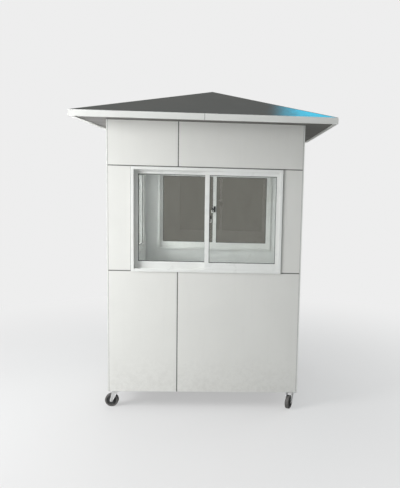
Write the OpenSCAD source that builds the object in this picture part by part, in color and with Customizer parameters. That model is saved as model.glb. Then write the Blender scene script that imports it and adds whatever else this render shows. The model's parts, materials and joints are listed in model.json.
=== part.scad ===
// Mobile guard cabin: square plan, composite-panel cladding, sliding windows,
// a glazed side door, a low hipped roof and four swivel casters.
// Millimetres, +Z up, front wall facing -Y, origin on the floor under the middle of the cabin.

/* [Body] */
// Width of the cabin over its cladding, along X
body_w = 1500; // [1380:10:2400]
// Depth of the cabin over its cladding, along Y
body_d = 1500; // [1250:10:2400]
// Height of the cladding, from its lower edge to the soffit
body_h = 2110; // [2080:10:2700]

/* [Walls] */
// Thickness of a wall behind its cladding
core_t = 46; // [30:1:80]
// Thickness of the cladding sheets
skin_t = 4; // [3:0.5:8]
// Width of the open joints between cladding sheets
joint_w = 8; // [4:1:14]
// Middle of the lower cladding joint, above the cladding's lower edge
sill_joint = 967; // [700:1:1050]
// Place of the upright cladding joint, from the wall's middle
seam_x = -210; // [-400:5:400]
// Visible width of a corner trim
trim_w = 9; // [6:1:30]
// Gap between a corner trim and the sheets beside it
trim_gap = 2; // [1:0.5:5]

/* [Base] */
// Width of a base rail, laid flat
rail_w = 120; // [80:5:160]
// Height of a base rail
rail_h = 60; // [40:5:80]
// Width of a floor cross member
cross_w = 60; // [40:5:100]
// Number of floor cross members
cross_count = 2; // [1:1:4]
// Thickness of the floor deck
deck_t = 18; // [12:1:30]

/* [Windows] */
// Distance from a window's outer frame to the end of its wall's cladding
window_margin = 170; // [150:5:350]
// Height of a window over its outer frame
window_h = 805; // [500:5:900]
// Place of the front window's middle along its wall
front_window_x = 12; // [-40:1:40]
// Face width of the outer frame's members
window_face = 23; // [16:1:50]
// Depth of the outer frame through the wall
window_depth = 70; // [66:1:110]
// How far a window or door frame stands out from the cladding
frame_proud = 8; // [2:1:20]
// Thickness of a sliding sash
sash_t = 24; // [18:1:28]
// Depth of the grooves that a sash runs in
groove_depth = 10; // [6:1:14]
// Face width of a sash's stiles
stile_w = 35; // [28:1:60]
// Face height of a sash's top rail
top_rail_h = 39; // [28:1:60]
// Face height of a sash's bottom rail
bottom_rail_h = 63; // [40:1:90]
// Thickness of the glass
glass_t = 5; // [4:0.5:8]

/* [Door] */
// Width of the door over its frame
door_w = 800; // [700:10:1000]
// Height of the door over its frame
door_h = 1900; // [1800:10:1980]
// Face width of the door frame
door_face = 35; // [25:1:60]
// Depth of the door frame through the wall
door_depth = 66; // [60:1:100]
// Height of the threshold
threshold_h = 22; // [15:1:40]
// Thickness of the door leaf
leaf_t = 40; // [35:1:50]
// Face width of the leaf's stiles and top rail
leaf_stile = 70; // [50:1:110]
// Height of the leaf's bottom rail
leaf_bottom_rail = 120; // [80:5:200]
// Height of the leaf's middle rail
leaf_mid_rail = 80; // [50:5:120]
// Height of the handle above the leaf's lower edge
handle_z = 900; // [800:10:1000]

/* [Roof] */
// Overhang of the eaves beyond the cladding
overhang = 215; // [120:5:300]
// Height of the fascia
fascia_h = 45; // [36:1:120]
// Thickness of the folded fascia sheet
fascia_t = 4; // [2:0.5:8]
// Width of the fascia's return under the soffit
fascia_return = 30; // [15:1:60]
// Gap between two lengths of fascia at the middle of a side
fascia_gap = 3; // [1:0.5:8]
// Thickness of the soffit boards and of the ceiling
soffit_t = 10; // [6:1:15]
// Gap between two soffit boards
soffit_gap = 2; // [1:0.5:5]
// Rise of the roof from the fascia's top edge to the apex
roof_rise = 300; // [150:10:600]
// Thickness of the roof sheets
roof_t = 4; // [3:0.5:8]

/* [Casters] */
// Diameter of a caster wheel
wheel_d = 105; // [75:1:115]
// Width of a wheel's tread
wheel_w = 30; // [24:1:40]
// Overall height of a caster, floor to plate
caster_h = 140; // [135:1:180]
// Distance from the kingpin to the axle
caster_trail = 30; // [20:1:45]
// Distance of a kingpin from the cladding's face
caster_inset = 50; // [48:1:150]
// Length of a caster's square top plate
plate_w = 84; // [60:1:88]
// Thickness of a caster's top plate
plate_t = 4; // [3:0.5:6]
// Direction in which the front left caster trails, degrees from +X
trail_front_left = 180; // [0:5:355]
// Direction in which the front right caster trails
trail_front_right = 245; // [0:5:355]
// Direction in which the back left caster trails
trail_back_left = 150; // [0:5:355]
// Direction in which the back right caster trails
trail_back_right = 30; // [0:5:355]

/* [Hidden] */
$fn = 64;
// Levels above the floor
base_z = caster_h;
deck_z = base_z + rail_h;
floor_z = deck_z + deck_t;
soffit_z = base_z + body_h;
fascia_z = soffit_z - fascia_t;
fascia_top = fascia_z + fascia_h;
// Joints and window levels, above the floor
sill_z = base_z + sill_joint;
window_z = sill_z - joint_w / 2;
head_z = window_z + window_h + joint_w / 2;
// Plan of the structure inside the cladding, and of the eaves
core_w = body_w - 2 * skin_t;
core_d = body_d - 2 * skin_t;
eave_w = body_w + 2 * overhang;
eave_d = body_d + 2 * overhang;
roof_w = eave_w - 2 * fascia_t;
roof_d = eave_d - 2 * fascia_t;
// First place beside a corner that a cladding sheet may use
panel_edge = trim_w + trim_gap;
// Sliding sashes: side play in the groove, lip in front of each track
sash_play = 1;
track_lip = (window_depth - 2 * (sash_t + 2 * sash_play)) / 3;
glass_grip = 8;
// How far a cutting block runs past the face that it opens
cut = 1;
// Door: gap round the leaf, sheet in the lower panel, butt hinges
leaf_gap = 4;
leaf_sheet_t = 6;
hinge_r = 8;
hinge_h = 100;
hinge_plate_w = 22;
hinge_plate_t = 2;
// Door handle: back plate, spindle, and a lever that stands off the leaf's face
handle_plate_w = 40;
handle_plate_h = 220;
handle_plate_t = 6;
spindle_r = 9;
lever_gap = 38;
lever_t = 12;
lever_h = 16;
lever_l = 120;
// Casters: raceway, crown, running gaps, fork and axle
kingpin_r = 6;
kingpin_play = 0.05;
kingpin_head_r = 10;
kingpin_head_t = 3;
raceway_r = 24;
raceway_h = 8;
running_gap = 0.3;
crown_r = 27;
crown_t = 4;
leg_top_half = 24;
fork_gap = 5;
fork_t = 3;
fork_end_r = 12;
axle_r = 5;
axle_play = 0.05;
axle_head_r = 8;
axle_head_t = 4;
tread_chamfer = 3;
web_half_w = 9;
hub_r = 15;
rim_r = 36;

// ---- Placing ----

// A box from its lowest corner to its highest corner.
module block(low, high) {
    translate(low) cube(high - low);
}

// Puts children on a wall: X runs along the wall, Y goes in from its cladding's face.
module on_front() {
    translate([0, -body_d / 2, 0]) children();
}

module on_back() {
    rotate([0, 0, 180]) translate([0, -body_d / 2, 0]) children();
}

module on_left() {
    rotate([0, 0, -90]) translate([0, -body_w / 2, 0]) children();
}

module on_right() {
    rotate([0, 0, 90]) translate([0, -body_w / 2, 0]) children();
}

// ---- Base and floor ----

module base_side_rails() {
    color("dimgray")
    for (side = [-1, 1])
        translate([side * (core_w - rail_w) / 2, 0, base_z + rail_h / 2])
            cube([rail_w, core_d, rail_h], center = true);
}

module base_end_rails() {
    color("dimgray")
    for (side = [-1, 1])
        translate([0, side * (core_d - rail_w) / 2, base_z + rail_h / 2])
            cube([core_w - 2 * rail_w, rail_w, rail_h], center = true);
}

module base_cross_members() {
    pitch = (core_d - 2 * rail_w) / (cross_count + 1);
    color("dimgray")
    for (i = [1:cross_count])
        translate([0, -core_d / 2 + rail_w + i * pitch, base_z + rail_h / 2])
            cube([core_w - 2 * rail_w, cross_w, rail_h], center = true);
}

module floor_deck() {
    color("slategray")
    translate([0, 0, deck_z + deck_t / 2]) cube([core_w, core_d, deck_t], center = true);
}

// ---- Walls ----

// A wall's structure with one opening, in the wall's own axes.
module wall_core(length, opening_x, opening_w, opening_low, opening_high) {
    difference() {
        block([-length / 2, skin_t, floor_z], [length / 2, skin_t + core_t, soffit_z]);
        block([opening_x - opening_w / 2, 0, opening_low],
              [opening_x + opening_w / 2, skin_t + 2 * core_t, opening_high]);
    }
}

// Width of a window over its outer frame, in a wall that is wall_w wide over its cladding.
function window_w(wall_w) = wall_w - 2 * window_margin;

module window_wall(length, wall_w, window_x) {
    color("whitesmoke")
    wall_core(length, window_x, window_w(wall_w), window_z, window_z + window_h);
}

module front_wall() {
    on_front() window_wall(core_w, body_w, front_window_x);
}

module back_wall() {
    on_back() window_wall(core_w, body_w, 0);
}

module left_wall() {
    on_left() window_wall(core_d - 2 * core_t, body_d, 0);
}

module right_wall() {
    color("whitesmoke")
    on_right() wall_core(core_d - 2 * core_t, 0, door_w, floor_z - cut, floor_z + door_h);
}

// ---- Cladding ----

// One cladding sheet.
module sheet(x0, x1, z0, z1) {
    block([x0, 0, z0], [x1, skin_t, z1]);
}

// Two sheets side by side, parted at the upright joint.
module sheet_pair(edge, z0, z1) {
    sheet(-edge, seam_x - joint_w / 2, z0, z1);
    sheet(seam_x + joint_w / 2, edge, z0, z1);
}

// The sheets of a wall with a window: two below it, one at each side and two above it.
module window_cladding(wall_w, window_x) {
    edge = wall_w / 2 - panel_edge;
    beside = (window_w(wall_w) + joint_w) / 2;
    color("gainsboro") {
        sheet_pair(edge, base_z, sill_z - joint_w / 2);
        sheet(-edge, window_x - beside, sill_z + joint_w / 2, head_z - joint_w / 2);
        sheet(window_x + beside, edge, sill_z + joint_w / 2, head_z - joint_w / 2);
        sheet_pair(edge, head_z + joint_w / 2, soffit_z);
    }
}

module front_cladding() {
    on_front() window_cladding(body_w, front_window_x);
}

module back_cladding() {
    on_back() window_cladding(body_w, 0);
}

module left_cladding() {
    on_left() window_cladding(body_d, 0);
}

// The door's wall: three sheets at each side of the door, one above it and one below it.
module right_cladding() {
    edge = body_d / 2 - panel_edge;
    jamb = (door_w + joint_w) / 2;
    levels = [base_z - joint_w / 2, sill_z, head_z, soffit_z + joint_w / 2];
    door_top = floor_z + door_h;
    color("gainsboro")
    on_right() {
        for (i = [0:2]) {
            sheet(-edge, -jamb, levels[i] + joint_w / 2, levels[i + 1] - joint_w / 2);
            sheet(jamb, edge, levels[i] + joint_w / 2, levels[i + 1] - joint_w / 2);
        }
        sheet(joint_w / 2 - jamb, jamb - joint_w / 2, base_z, floor_z);
        sheet(joint_w / 2 - jamb, jamb - joint_w / 2, door_top + joint_w / 2, soffit_z);
    }
}

module corner_trims() {
    color("lightgray")
    for (sx = [-1, 1], sy = [-1, 1])
        mirror([sx < 0 ? 1 : 0, 0, 0]) mirror([0, sy < 0 ? 1 : 0, 0])
            difference() {
                block([body_w / 2 - trim_w, body_d / 2 - trim_w, base_z], [body_w / 2, body_d / 2, soffit_z]);
                block([0, 0, 0], [core_w / 2, core_d / 2, soffit_z + cut]);
            }
}

// ---- Sliding windows ----

// Where the sash in the outer track (0) or the inner track (1) starts, in from the cladding.
function track_y(track) = -frame_proud + track_lip + track * (sash_t + 2 * sash_play + track_lip);

// Height of a window's clear opening, and the same grown into the grooves
clear_h = window_h - 2 * window_face;
groove_h = clear_h + 2 * groove_depth;
groove_z = window_z + window_face - groove_depth;
sash_h = groove_h - sash_play;

// Width between the bottoms of the side grooves.
function groove_w(wall_w) = window_w(wall_w) - 2 * (window_face - groove_depth);

// Width of a sash, from its groove to the far side of the meeting stiles.
function sash_w(wall_w) = (groove_w(wall_w) - 2 * sash_play + stile_w) / 2;

module window_frame(wall_w, window_x) {
    half = window_w(wall_w) / 2;
    clear = half - window_face;
    groove = groove_w(wall_w) / 2;
    color("white")
    translate([window_x, 0, 0])
        difference() {
            block([-half, -frame_proud, window_z], [half, window_depth - frame_proud, window_z + window_h]);
            block([-clear, -frame_proud - cut, window_z + window_face],
                  [clear, window_depth, window_z + window_face + clear_h]);
            for (track = [0, 1])
                block([-groove, track_y(track), groove_z],
                      [groove, track_y(track) + sash_t + 2 * sash_play, groove_z + groove_h]);
        }
}

// Puts children at a sash's lower outer corner; the outer sash is on the right.
module at_sash(wall_w, window_x, track) {
    reach = groove_w(wall_w) / 2 - sash_play;
    left = track == 0 ? reach - sash_w(wall_w) : -reach;
    translate([window_x + left, track_y(track) + sash_play, groove_z]) children();
}

// The pane with the margin that its sash grips.
module pane(wall_w) {
    block([stile_w - glass_grip, (sash_t - glass_t) / 2, bottom_rail_h - glass_grip],
          [sash_w(wall_w) - stile_w + glass_grip, (sash_t + glass_t) / 2, sash_h - top_rail_h + glass_grip]);
}

module window_sashes(wall_w, window_x) {
    color("white")
    for (track = [0, 1])
        at_sash(wall_w, window_x, track)
            difference() {
                cube([sash_w(wall_w), sash_t, sash_h]);
                block([stile_w, -cut, bottom_rail_h],
                      [sash_w(wall_w) - stile_w, sash_t + cut, sash_h - top_rail_h]);
                pane(wall_w);
            }
}

module window_glass(wall_w, window_x) {
    color("lightblue", 0.4)
    for (track = [0, 1])
        at_sash(wall_w, window_x, track) pane(wall_w);
}

module front_window_frame() {
    on_front() window_frame(body_w, front_window_x);
}

module front_window_sashes() {
    on_front() window_sashes(body_w, front_window_x);
}

module front_window_glass() {
    on_front() window_glass(body_w, front_window_x);
}

module back_window_frame() {
    on_back() window_frame(body_w, 0);
}

module back_window_sashes() {
    on_back() window_sashes(body_w, 0);
}

module back_window_glass() {
    on_back() window_glass(body_w, 0);
}

module left_window_frame() {
    on_left() window_frame(body_d, 0);
}

module left_window_sashes() {
    on_left() window_sashes(body_d, 0);
}

module left_window_glass() {
    on_left() window_glass(body_d, 0);
}

// ---- Door ----

leaf_w = door_w - 2 * (door_face + leaf_gap);
leaf_h = door_h - door_face - threshold_h - 2 * leaf_gap;
leaf_z = floor_z + threshold_h + leaf_gap;
leaf_y = -frame_proud;
mid_rail_z = sill_z - leaf_mid_rail / 2;

module door_frame() {
    color("white")
    on_right()
        difference() {
            block([-door_w / 2, -frame_proud, floor_z], [door_w / 2, door_depth - frame_proud, floor_z + door_h]);
            block([door_face - door_w / 2, -frame_proud - cut, floor_z + threshold_h],
                  [door_w / 2 - door_face, door_depth, floor_z + door_h - door_face]);
        }
}

// The door's pane with the margin that the leaf grips.
module door_pane() {
    half = leaf_w / 2 - leaf_stile + glass_grip;
    block([-half, leaf_y + (leaf_t - glass_t) / 2, mid_rail_z + leaf_mid_rail - glass_grip],
          [half, leaf_y + (leaf_t + glass_t) / 2, leaf_z + leaf_h - leaf_stile + glass_grip]);
}

module door_leaf() {
    half = leaf_w / 2 - leaf_stile;
    recess = (leaf_t - leaf_sheet_t) / 2;
    low = leaf_z + leaf_bottom_rail;
    color("white")
    on_right()
        difference() {
            block([-leaf_w / 2, leaf_y, leaf_z], [leaf_w / 2, leaf_y + leaf_t, leaf_z + leaf_h]);
            block([-half, leaf_y - cut, mid_rail_z + leaf_mid_rail],
                  [half, leaf_y + leaf_t + cut, leaf_z + leaf_h - leaf_stile]);
            block([-half, leaf_y - cut, low], [half, leaf_y + recess, mid_rail_z]);
            block([-half, leaf_y + leaf_t - recess, low], [half, leaf_y + leaf_t + cut, mid_rail_z]);
            door_pane();
        }
}

module door_glass() {
    color("lightblue", 0.4)
    on_right() door_pane();
}

// Three butt hinges, each a knuckle with its plates on the faces of the frame and the leaf.
module door_hinges() {
    color("silver")
    on_right()
        for (share = [0.1, 0.5, 0.9])
            translate([-(leaf_w + leaf_gap) / 2, leaf_y - hinge_r, leaf_z + share * leaf_h - hinge_h / 2]) {
                cylinder(h = hinge_h, r = hinge_r);
                block([-hinge_plate_w, hinge_r - hinge_plate_t, 0], [hinge_plate_w, hinge_r, hinge_h]);
            }
}

// A lever on a back plate, at both faces of the leaf.
module door_handles() {
    handle_x = leaf_w / 2 - leaf_stile / 2;
    color("silver")
    on_right()
        for (face = [0, 1])
            translate([handle_x, leaf_y + face * leaf_t, leaf_z + handle_z])
                mirror([0, face, 0]) {
                    block([-handle_plate_w / 2, -handle_plate_t, -handle_plate_h / 2],
                          [handle_plate_w / 2, 0, handle_plate_h / 2]);
                    rotate([90, 0, 0]) cylinder(h = lever_gap + lever_t / 2, r = spindle_r);
                    block([-lever_l, -lever_gap - lever_t, -lever_h / 2], [spindle_r, -lever_gap, lever_h / 2]);
                }
}

// ---- Ceiling, eaves and roof ----

module ceiling() {
    color("whitesmoke")
    translate([0, 0, soffit_z + soffit_t / 2]) cube([core_w, core_d, soffit_t], center = true);
}

// Four boards on the fascia's return: the front and back ones run the full width.
module soffit() {
    high = soffit_z + soffit_t;
    color("lightgray") {
        for (side = [0, 180])
            rotate([0, 0, side])
                block([-roof_w / 2, -roof_d / 2, soffit_z], [roof_w / 2, -core_d / 2, high]);
        for (side = [0, 180])
            rotate([0, 0, side])
                block([core_w / 2, soffit_gap - core_d / 2, soffit_z], [roof_w / 2, core_d / 2 - soffit_gap, high]);
    }
}

// Four folded lengths that turn the corners and part at the middle of each side.
module fascia() {
    color("lightgray")
    difference() {
        translate([0, 0, fascia_z + fascia_h / 2]) cube([eave_w, eave_d, fascia_h], center = true);
        block([-roof_w / 2, -roof_d / 2, soffit_z], [roof_w / 2, roof_d / 2, fascia_top + cut]);
        block([fascia_return - eave_w / 2, fascia_return - eave_d / 2, fascia_z - cut],
              [eave_w / 2 - fascia_return, eave_d / 2 - fascia_return, fascia_top + cut]);
        block([-fascia_gap / 2, -eave_d, fascia_z - cut], [fascia_gap / 2, eave_d, fascia_top + cut]);
        block([-eave_w, -fascia_gap / 2, fascia_z - cut], [eave_w, fascia_gap / 2, fascia_top + cut]);
    }
}

// One sloping sheet between two hips: run is from the apex to the fascia, half from middle to hip.
module roof_sheet(run, half) {
    drop = roof_t * sqrt(run * run + roof_rise * roof_rise) / run;
    intersection() {
        rotate([90, 0, 90])
            linear_extrude(height = 2 * half, center = true)
                polygon([[-run, fascia_top], [0, fascia_top + roof_rise],
                         [0, fascia_top + roof_rise - drop], [-run, fascia_top - drop]]);
        translate([0, 0, fascia_z])
            linear_extrude(height = fascia_h + 2 * roof_rise)
                polygon([[0, 0], [-half, -run], [half, -run]]);
    }
}

module front_roof_sheet() {
    color("dimgray") roof_sheet(roof_d / 2, roof_w / 2);
}

module back_roof_sheet() {
    color("dimgray") rotate([0, 0, 180]) roof_sheet(roof_d / 2, roof_w / 2);
}

module left_roof_sheet() {
    color("dimgray") rotate([0, 0, -90]) roof_sheet(roof_w / 2, roof_d / 2);
}

module right_roof_sheet() {
    color("dimgray") rotate([0, 0, 90]) roof_sheet(roof_w / 2, roof_d / 2);
}

// ---- Casters ----

wheel_r = wheel_d / 2;
fork_inside = wheel_w / 2 + fork_gap;
raceway_z = caster_h - plate_t - raceway_h;
crown_z = raceway_z - running_gap - crown_t;

// Puts children at a caster: origin on the floor under its kingpin, trailing along +X.
module at_caster(side_x, side_y, trail_angle) {
    translate([side_x * (body_w / 2 - caster_inset), side_y * (body_d / 2 - caster_inset), 0])
        rotate([0, 0, trail_angle]) children();
}

module at_front_left() {
    at_caster(-1, -1, trail_front_left) children();
}

module at_front_right() {
    at_caster(1, -1, trail_front_right) children();
}

module at_back_left() {
    at_caster(-1, 1, trail_back_left) children();
}

module at_back_right() {
    at_caster(1, 1, trail_back_right) children();
}

// A top plate with its raceway and the headed kingpin that carries the fork.
module caster_plate() {
    head_z = crown_z - running_gap - kingpin_head_t;
    translate([-plate_w / 2, -plate_w / 2, caster_h - plate_t]) cube([plate_w, plate_w, plate_t]);
    translate([0, 0, raceway_z]) cylinder(h = raceway_h, r = raceway_r);
    translate([0, 0, head_z]) cylinder(h = raceway_z - head_z, r = kingpin_r);
    translate([0, 0, head_z]) cylinder(h = kingpin_head_t, r = kingpin_head_r);
}

module caster_plates() {
    color("silver")
    for (sx = [-1, 1], sy = [-1, 1])
        at_caster(sx, sy, 0) caster_plate();
}

// The point where a line from p touches a circle of radius r about c, on the given side.
function tangent_point(p, c, r, side) =
    let (d = norm(p - c), a = acos(r / d), b = atan2(p.y - c.y, p.x - c.x))
    c + r * [cos(b + side * a), sin(b + side * a)];

// The outline of a fork leg: a wide top under the crown, narrowing to a round end at the axle.
module leg_outline() {
    axle = [caster_trail, wheel_r];
    top_z = crown_z + crown_t;
    front = [-leg_top_half, top_z];
    back = [leg_top_half, top_z];
    polygon([front, back, tangent_point(back, axle, fork_end_r, -1), axle,
             tangent_point(front, axle, fork_end_r, 1)]);
    translate(axle) circle(r = fork_end_r);
}

// A swivelling fork: a crown with the kingpin's bore, two legs and the axle between them.
module caster_fork() {
    outside = fork_inside + fork_t;
    color("silver") {
        difference() {
            union() {
                translate([0, 0, crown_z]) cylinder(h = crown_t, r = crown_r);
                block([-leg_top_half, -outside, crown_z], [leg_top_half, outside, crown_z + crown_t]);
                for (side = [-1, 1])
                    translate([0, side * (fork_inside + fork_t / 2), 0])
                        rotate([90, 0, 0]) linear_extrude(height = fork_t, center = true) leg_outline();
                translate([caster_trail, 0, wheel_r]) rotate([90, 0, 0]) {
                    cylinder(h = 2 * outside, r = axle_r, center = true);
                    for (side = [-1, 1])
                        translate([0, 0, side * (outside + axle_head_t / 2)])
                            cylinder(h = axle_head_t, r = axle_head_r, center = true);
                }
            }
            translate([0, 0, crown_z - cut]) cylinder(h = crown_t + 2 * cut, r = kingpin_r + kingpin_play);
        }
    }
}

// A wheel turned from one profile: tread, recessed web and a hub that nearly fills the fork.
module caster_wheel() {
    hub_half = fork_inside - running_gap;
    tread_half = wheel_w / 2;
    color("darkslategray")
    translate([caster_trail, 0, wheel_r]) rotate([90, 0, 0])
        rotate_extrude()
            polygon([[axle_r + axle_play, -hub_half], [hub_r, -hub_half], [hub_r, -web_half_w],
                     [rim_r, -web_half_w], [rim_r, -tread_half],
                     [wheel_r - tread_chamfer, -tread_half], [wheel_r, tread_chamfer - tread_half],
                     [wheel_r, tread_half - tread_chamfer], [wheel_r - tread_chamfer, tread_half],
                     [rim_r, tread_half], [rim_r, web_half_w],
                     [hub_r, web_half_w], [hub_r, hub_half], [axle_r + axle_play, hub_half]]);
}

module front_left_fork() {
    at_front_left() caster_fork();
}

module front_right_fork() {
    at_front_right() caster_fork();
}

module back_left_fork() {
    at_back_left() caster_fork();
}

module back_right_fork() {
    at_back_right() caster_fork();
}

module front_left_wheel() {
    at_front_left() caster_wheel();
}

module front_right_wheel() {
    at_front_right() caster_wheel();
}

module back_left_wheel() {
    at_back_left() caster_wheel();
}

module back_right_wheel() {
    at_back_right() caster_wheel();
}

base_side_rails();
base_end_rails();
base_cross_members();
floor_deck();
front_wall();
back_wall();
left_wall();
right_wall();
front_cladding();
back_cladding();
left_cladding();
right_cladding();
corner_trims();
front_window_frame();
front_window_sashes();
front_window_glass();
back_window_frame();
back_window_sashes();
back_window_glass();
left_window_frame();
left_window_sashes();
left_window_glass();
door_frame();
door_leaf();
door_glass();
door_hinges();
door_handles();
ceiling();
soffit();
fascia();
front_roof_sheet();
back_roof_sheet();
left_roof_sheet();
right_roof_sheet();
caster_plates();
front_left_fork();
front_right_fork();
back_left_fork();
back_right_fork();
front_left_wheel();
front_right_wheel();
back_left_wheel();
back_right_wheel();
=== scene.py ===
import json
import math

import bmesh
import bpy
from mathutils import Matrix, Vector


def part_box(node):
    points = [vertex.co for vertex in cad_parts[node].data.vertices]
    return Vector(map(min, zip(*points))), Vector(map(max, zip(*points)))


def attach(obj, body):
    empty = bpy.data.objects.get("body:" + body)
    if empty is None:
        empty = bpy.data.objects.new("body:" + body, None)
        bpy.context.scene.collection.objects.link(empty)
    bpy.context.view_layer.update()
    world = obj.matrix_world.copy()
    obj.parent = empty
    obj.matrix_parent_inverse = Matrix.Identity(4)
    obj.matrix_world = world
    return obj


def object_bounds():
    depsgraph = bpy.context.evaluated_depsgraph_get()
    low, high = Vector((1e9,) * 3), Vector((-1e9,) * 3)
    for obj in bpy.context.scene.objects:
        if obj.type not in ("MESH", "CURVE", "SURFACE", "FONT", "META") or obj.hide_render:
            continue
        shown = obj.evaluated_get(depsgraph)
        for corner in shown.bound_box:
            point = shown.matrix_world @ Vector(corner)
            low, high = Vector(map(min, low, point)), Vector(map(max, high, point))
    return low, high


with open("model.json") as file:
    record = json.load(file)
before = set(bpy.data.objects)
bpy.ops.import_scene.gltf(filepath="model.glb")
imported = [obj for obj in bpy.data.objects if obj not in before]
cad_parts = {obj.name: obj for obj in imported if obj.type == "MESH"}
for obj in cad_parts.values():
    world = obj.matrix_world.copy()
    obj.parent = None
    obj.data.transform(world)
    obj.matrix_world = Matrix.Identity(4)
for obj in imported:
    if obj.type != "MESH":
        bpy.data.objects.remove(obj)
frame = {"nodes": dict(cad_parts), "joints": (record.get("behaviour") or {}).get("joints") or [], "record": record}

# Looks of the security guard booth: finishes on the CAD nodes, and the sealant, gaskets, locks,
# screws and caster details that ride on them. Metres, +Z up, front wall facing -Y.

CAD_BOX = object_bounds()
MM = 0.001
CABIN = "cabin"


# ---- Camera ----

CAMERA_PLACE = Vector((0.2762, -5.0313, 1.8112))
CAMERA_YAW = -0.0507
CAMERA_PITCH = -0.1124
CAMERA_ROLL = -0.0260
SENSOR = 36.0
# Focal length and shift as shares of the picture's long side
FOCAL_SHARE = 1.1363
SHIFT = (-0.1409, 0.0023)


def add_camera():
    """The camera stands where the photographer stood: eye height, a little right of the middle."""
    data = bpy.data.cameras.new("camera")
    data.sensor_width = SENSOR
    data.lens = FOCAL_SHARE * SENSOR
    data.shift_x, data.shift_y = SHIFT
    camera = bpy.data.objects.new("camera", data)
    turn = (Matrix.Rotation(CAMERA_YAW, 4, "Z") @ Matrix.Rotation(CAMERA_PITCH, 4, "X")
            @ Matrix.Rotation(CAMERA_ROLL, 4, "Y") @ Matrix.Rotation(math.pi / 2, 4, "X"))
    camera.matrix_world = Matrix.Translation(CAMERA_PLACE) @ turn
    bpy.context.scene.collection.objects.link(camera)
    bpy.context.scene.camera = camera


# ---- Node trees ----

class Tree:
    """A node tree with short calls for the procedural layers that the finishes share."""

    def __init__(self, owner):
        owner.use_nodes = True
        self.tree = owner.node_tree
        self.place = None

    def node(self, kind, **settings):
        made = self.tree.nodes.new(kind)
        for name, value in settings.items():
            setattr(made, name, value)
        return made

    def feed(self, socket, value):
        if isinstance(value, bpy.types.NodeSocket):
            self.tree.links.new(value, socket)
        else:
            socket.default_value = value

    def coords(self):
        """Places on the piece, in metres, in the frame at rest."""
        if self.place is None:
            self.place = self.node("ShaderNodeTexCoord").outputs["Object"]
        return self.place

    def stretched(self, x, y, z):
        """The same places, scaled along each axis."""
        made = self.node("ShaderNodeMapping")
        self.feed(made.inputs["Vector"], self.coords())
        made.inputs["Scale"].default_value = (x, y, z)
        return made.outputs["Vector"]

    def axis(self, name, vector=None):
        made = self.node("ShaderNodeSeparateXYZ")
        self.feed(made.inputs[0], vector or self.coords())
        return made.outputs[name]

    def noise(self, scale, detail=3.0, rough=0.5, vector=None, warp=0.0):
        made = self.node("ShaderNodeTexNoise")
        self.feed(made.inputs["Vector"], vector or self.coords())
        made.inputs["Scale"].default_value = scale
        made.inputs["Detail"].default_value = detail
        made.inputs["Roughness"].default_value = rough
        made.inputs["Distortion"].default_value = warp
        return made.outputs["Fac"]

    def cells(self, scale, output="Distance"):
        made = self.node("ShaderNodeTexVoronoi")
        self.feed(made.inputs["Vector"], self.coords())
        made.inputs["Scale"].default_value = scale
        return made.outputs[output]

    def remap(self, value, low, high, to_low=0.0, to_high=1.0, smooth=True):
        made = self.node("ShaderNodeMapRange")
        made.interpolation_type = "SMOOTHSTEP" if smooth else "LINEAR"
        self.feed(made.inputs["Value"], value)
        for name, number in (("From Min", low), ("From Max", high), ("To Min", to_low), ("To Max", to_high)):
            made.inputs[name].default_value = number
        return made.outputs["Result"]

    def math(self, operation, a, b=0.0):
        made = self.node("ShaderNodeMath", operation=operation)
        self.feed(made.inputs[0], a)
        self.feed(made.inputs[1], b)
        return made.outputs[0]

    def blend(self, share, a, b, how="MIX"):
        """Colour a, turning to colour b by the given share."""
        made = self.node("ShaderNodeMix", data_type="RGBA", blend_type=how)
        self.feed(made.inputs["Factor"], share)
        for name, colour in (("A", a), ("B", b)):
            socket = next(s for s in made.inputs if s.name == name and s.type == "RGBA")
            self.feed(socket, colour if isinstance(colour, bpy.types.NodeSocket) else (*colour, 1.0))
        return next(s for s in made.outputs if s.type == "RGBA")

    def bump(self, height, distance, strength=1.0, normal=None):
        made = self.node("ShaderNodeBump")
        made.inputs["Distance"].default_value = distance
        made.inputs["Strength"].default_value = strength
        self.feed(made.inputs["Height"], height)
        if normal is not None:
            self.feed(made.inputs["Normal"], normal)
        return made.outputs["Normal"]


def new_finish(name, roughness=0.5, metallic=0.0, **sockets):
    """A material, its tree and its Principled shader, with the plain numbers set on the shader itself."""
    made = bpy.data.materials.new(name)
    tree = Tree(made)
    shader = next(n for n in tree.tree.nodes if n.type == "BSDF_PRINCIPLED")
    shader.inputs["Roughness"].default_value = roughness
    shader.inputs["Metallic"].default_value = metallic
    for socket, value in sockets.items():
        shader.inputs[socket.replace("_", " ")].default_value = value
    return made, tree, shader


# ---- Finishes ----

GLASS_TINT = (0.925, 0.94, 0.93)
ROOF_GLOSS = 0.12
# Where a caster wheel's moulded centre meets its tread
WHEEL_SPLIT = 38.5 * MM
WHEEL_SPLIT_BLUR = 0.3 * MM
# Dust on the cladding fades out between these heights over the floor
DUST_FULL, DUST_NONE = 0.14, 0.55


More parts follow.
